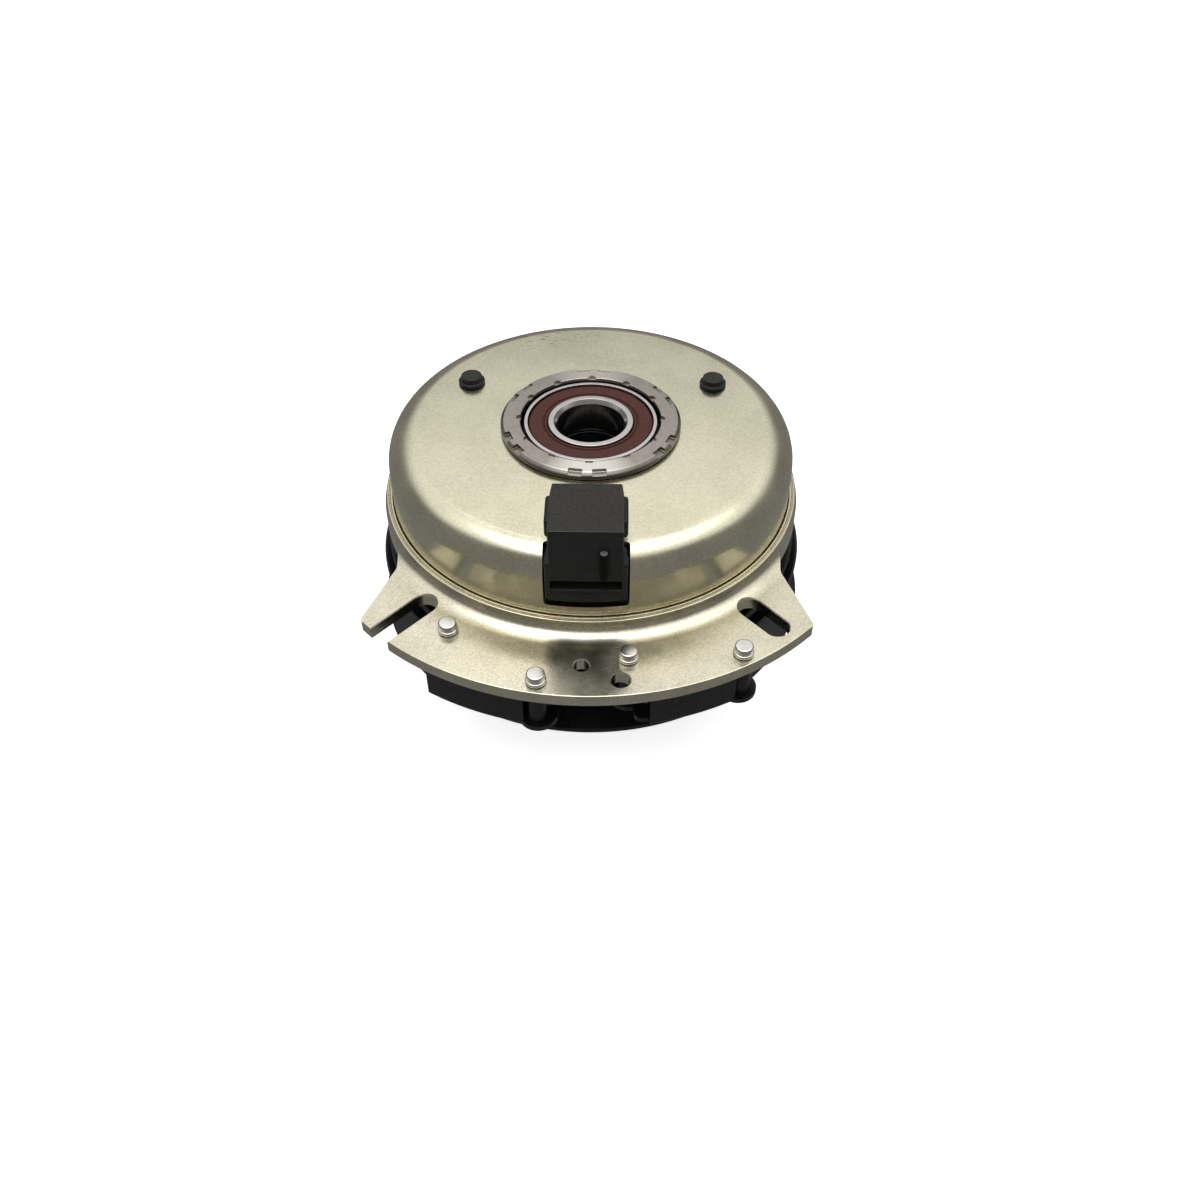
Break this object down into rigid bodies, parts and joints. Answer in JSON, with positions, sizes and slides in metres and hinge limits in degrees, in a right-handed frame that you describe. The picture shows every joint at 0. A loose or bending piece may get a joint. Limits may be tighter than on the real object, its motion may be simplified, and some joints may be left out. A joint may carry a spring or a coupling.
{
  "type": "electric pto clutch",
  "caption": "Electric power take-off clutch with a belt pulley and a spring-free magnet brake, for a one inch engine crankshaft.",
  "frame": {"origin": "on the crankshaft axis, level with the pulley's lower face, on which the part stands", "axes": "+Z along the crankshaft axis from the pulley to the connector side, -Y towards the connector and the torque plate's wings, +X to the right seen from the connector side"},
  "size_m": [0.1716, 0.1956, 0.093],
  "materials": {
    "zinc_plated_steel": "satin",
    "machined_steel": "satin",
    "bright_steel": "polished",
    "spring_steel": "satin",
    "black_paint": "satin",
    "black_plastic": "matte",
    "seal_rubber": "matte",
    "copper": "enamelled wire",
    "ferrite": "matte"
  },
  "bodies": {
    "field": {"field_cup": "zinc_plated_steel", "inner_pole": "machined_steel", "torque_plate": "zinc_plated_steel", "coil_bobbin": "black_plastic", "coil_winding": "copper", "connector_housing": "black_plastic", "terminal_left": "bright_steel", "terminal_right": "bright_steel", "bobbin_plug_left": "black_plastic", "bobbin_plug_right": "black_plastic", "upper_bearing_outer_ring": "bright_steel", "upper_bearing_seal_top": "seal_rubber", "upper_bearing_seal_bottom": "seal_rubber", "brake_shoe_left": "black_paint", "brake_shoe_right": "black_paint", "brake_magnet_left": "ferrite", "brake_magnet_right": "ferrite", "brake_pole_left": "black_paint", "brake_pole_right": "black_paint", "shoe_rivet_left_inner": "bright_steel", "shoe_rivet_left_outer": "bright_steel", "shoe_rivet_right_inner": "bright_steel", "shoe_rivet_right_outer": "bright_steel", "spacer_left_inner": "black_paint", "spacer_left_outer": "black_paint", "spacer_right_inner": "black_paint", "spacer_right_outer": "black_paint"},
    "rotor": {"rotor_hub": "machined_steel", "rotor_disc": "machined_steel", "retaining_ring": "spring_steel", "upper_bearing_inner_ring": "bright_steel", "lower_bearing_inner_ring": "bright_steel"},
    "pulley": {"pulley_rim": "black_paint", "pulley_hub": "black_paint", "lower_bearing_outer_ring": "bright_steel", "lower_bearing_seal_top": "seal_rubber", "lower_bearing_seal_bottom": "seal_rubber", "leaf_spring_1": "spring_steel", "leaf_spring_2": "spring_steel", "leaf_spring_3": "spring_steel", "pulley_rivet_1": "spring_steel", "pulley_rivet_2": "spring_steel", "pulley_rivet_3": "spring_steel"},
    "armature": {"armature": "machined_steel", "armature_rivet_1": "spring_steel", "armature_rivet_2": "spring_steel", "armature_rivet_3": "spring_steel"},
    "upper_balls": {"upper_bearing_ball_set": "bright_steel"},
    "lower_balls": {"lower_bearing_ball_set": "bright_steel"}
  },
  "joints": [
    {"name": "rotor_spin", "type": "hinge", "parent": "field", "child": "rotor", "pos_m": [0, 0, 0], "axis": [0, 0, 1], "continuous": true},
    {"name": "pulley_spin", "type": "hinge", "parent": "rotor", "child": "pulley", "pos_m": [0, 0, 0], "axis": [0, 0, 1], "continuous": true},
    {"name": "armature_slide", "type": "slide", "parent": "pulley", "child": "armature", "axis": [0, 0, 1], "range_m": [0, 0.0004], "stiffness_N_per_m": 20000, "springref_m": -0.0001},
    {"name": "upper_cage_spin", "type": "hinge", "parent": "field", "child": "upper_balls", "pos_m": [0, 0, 0.0735], "axis": [0, 0, 1], "continuous": true},
    {"name": "lower_cage_spin", "type": "hinge", "parent": "rotor", "child": "lower_balls", "pos_m": [0, 0, 0.0155], "axis": [0, 0, 1], "continuous": true}
  ],
  "couplings": [
    {"joint": "upper_cage_spin", "follows": "rotor_spin", "ratio": 0.4013},
    {"joint": "lower_cage_spin", "follows": "pulley_spin", "ratio": 0.5804}
  ]
}
